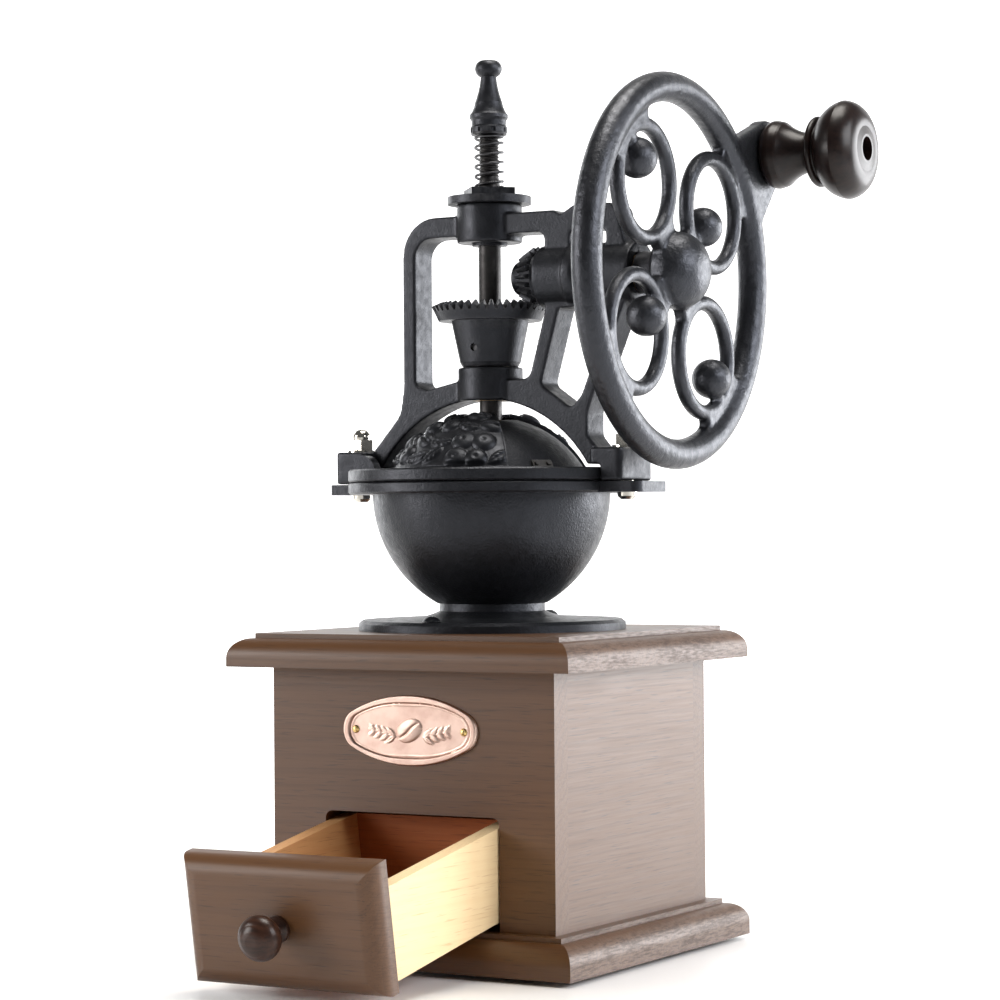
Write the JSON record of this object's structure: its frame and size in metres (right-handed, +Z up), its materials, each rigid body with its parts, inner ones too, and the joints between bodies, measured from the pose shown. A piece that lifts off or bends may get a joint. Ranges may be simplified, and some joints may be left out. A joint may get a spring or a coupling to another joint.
{
  "type": "hand crank coffee grinder",
  "caption": "Box coffee grinder: wooden case with a drawer, cast hopper with a domed lid, geared spindle, and a scrolled crank wheel with a turned knob.",
  "frame": {"origin": "centre of the rest face under the box", "axes": "+Z up, -Y towards the drawer, +X towards the crank wheel"},
  "size_m": [0.1634, 0.2095, 0.2801],
  "materials": {
    "stained_wood": "grey-brown stained walnut, satin lacquer",
    "raw_wood": "unstained pale timber",
    "dark_wood": "very dark turned wood, gloss lacquer",
    "black_iron": "fine sand-cast iron, black satin paint",
    "black_screws": "black enamel",
    "burr_iron": "bare hardened iron",
    "copper_plate": "bright copper, soft brushed",
    "brass": "polished brass",
    "nickel": "nickel plated, slightly warm",
    "steel": "turned bright steel",
    "black_steel": "blackened steel",
    "bronze_bush": "plain bearing bronze",
    "cork_pad": "dark felted pad"
  },
  "bodies": {
    "base": {"base_pad": "cork_pad", "bottom_board": "stained_wood", "top_board": "stained_wood", "front_panel": "stained_wood", "back_panel": "stained_wood", "left_panel": "stained_wood", "right_panel": "stained_wood", "drawer_runners": "raw_wood", "box_screws": "steel", "name_plate": "copper_plate", "name_plate_pins": "brass", "hopper_foot": "black_iron", "hopper_bowl": "black_iron", "hopper_screws": "black_screws", "outer_burr": "burr_iron", "lid_ring": "black_iron", "yoke_frame": "black_iron", "clamp_bolts": "nickel", "clamp_washers": "nickel", "acorn_nuts": "nickel", "lower_bush": "bronze_bush", "top_bush": "black_iron", "barrel_bushes": "bronze_bush"},
    "lid_door": {"lid_door": "black_iron", "lid_door_tab": "steel"},
    "spindle": {"spindle_shaft": "black_steel", "ring_gear": "black_iron", "gear_hub": "black_iron", "ring_gear_pin": "steel", "inner_burr": "burr_iron", "burr_washer": "steel", "burr_nut": "steel", "adjusting_spring": "black_steel"},
    "cup_washer": {"cup_washer": "steel"},
    "finial": {"finial_nut": "black_iron"},
    "crank": {"pinion": "black_iron", "crank_shaft": "steel", "crank_collar": "black_iron", "collar_screw": "steel", "crank_wheel": "black_iron", "handle_screw": "steel", "knob_washer": "steel"},
    "knob": {"handle_knob": "dark_wood"},
    "drawer_stop": {"drawer_stop_pins": "steel"},
    "drawer": {"drawer_front": "stained_wood", "drawer_left_side": "raw_wood", "drawer_right_side": "raw_wood", "drawer_back": "raw_wood", "drawer_floor": "raw_wood", "drawer_knob": "dark_wood", "drawer_knob_screw": "steel"}
  },
  "joints": [
    {"name": "crank_turn", "type": "hinge", "parent": "base", "child": "crank", "pos_m": [0, 0, 0.2104], "axis": [1, 0, 0], "continuous": true},
    {"name": "spindle_turn", "type": "hinge", "parent": "base", "child": "spindle", "pos_m": [0, 0, 0.2104], "axis": [0, 0, 1], "continuous": true},
    {"name": "handle_spin", "type": "hinge", "parent": "crank", "child": "knob", "pos_m": [0.09, 0.0593, 0.2512], "axis": [1, 0, 0], "continuous": true},
    {"name": "lid_door_turn", "type": "hinge", "parent": "base", "child": "lid_door", "pos_m": [0, 0, 0.16], "axis": [0, 0, 1], "range_deg": [-14, 56]},
    {"name": "spring_press", "type": "slide", "parent": "spindle", "child": "cup_washer", "axis": [0, 0, 1], "range_m": [-0.003, 0], "deforming": ["adjusting_spring"]},
    {"name": "finial_turn", "type": "hinge", "parent": "cup_washer", "child": "finial", "pos_m": [0, 0, 0.265], "axis": [0, 0, 1], "range_deg": [-1080, 0]},
    {"name": "drawer_slide", "type": "slide", "parent": "base", "child": "drawer_stop", "axis": [0, -0.9999, 0.016], "range_m": [-0.06251, 0]},
    {"name": "drawer_tilt", "type": "hinge", "parent": "drawer_stop", "child": "drawer", "pos_m": [0, -0.0397, 0.0275], "axis": [1, 0, 0], "range_deg": [-9.81, 0]}
  ],
  "couplings": [
    {"joint": "spindle_turn", "follows": "crank_turn", "ratio": 0.5},
    {"joint": "spring_press", "follows": "finial_turn", "m_per_rad": 0.00015915},
    {"joint": "drawer_tilt", "follows": "drawer_slide", "rad_per_m": 2.7363}
  ]
}
